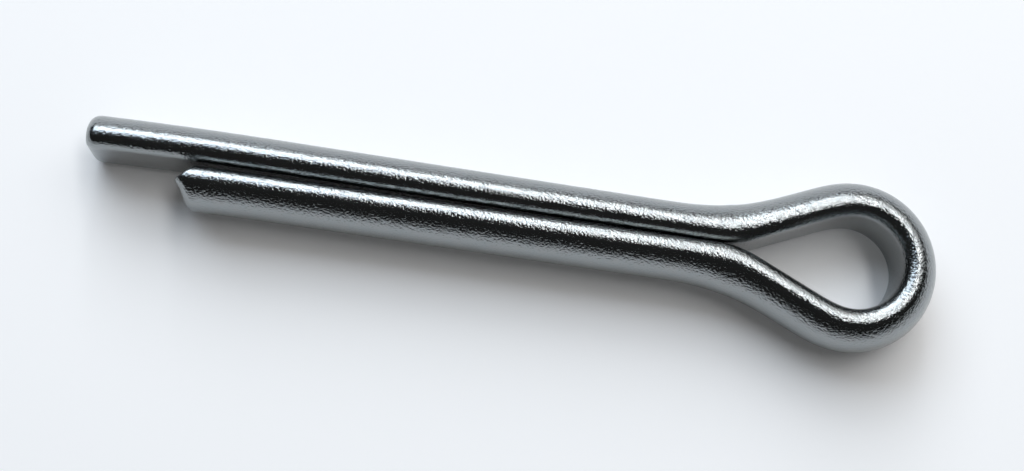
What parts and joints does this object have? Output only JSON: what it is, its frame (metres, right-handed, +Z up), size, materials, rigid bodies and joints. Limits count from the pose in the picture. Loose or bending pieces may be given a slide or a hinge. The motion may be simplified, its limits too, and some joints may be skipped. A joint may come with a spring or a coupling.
{
  "type": "cotter pin",
  "caption": "Split cotter pin of folded half-round wire, with a teardrop eye and two parallel legs, one longer than the other.",
  "frame": {"origin": "on the shank's axis, where the flats of the two legs part under the eye", "axes": "-X along the shank towards the leg tips, +X towards the eye; the long leg is on the +Y side; +Z up from the pin as it lies on its side"},
  "size_m": [0.0394, 0.008, 0.0036],
  "materials": {
    "zinc_plated_steel": "bright zinc plate on drawn steel wire, glossy with a fine orange-peel grain"
  },
  "bodies": {
    "root": {"cotter_pin": "zinc_plated_steel"}
  },
  "joints": []
}
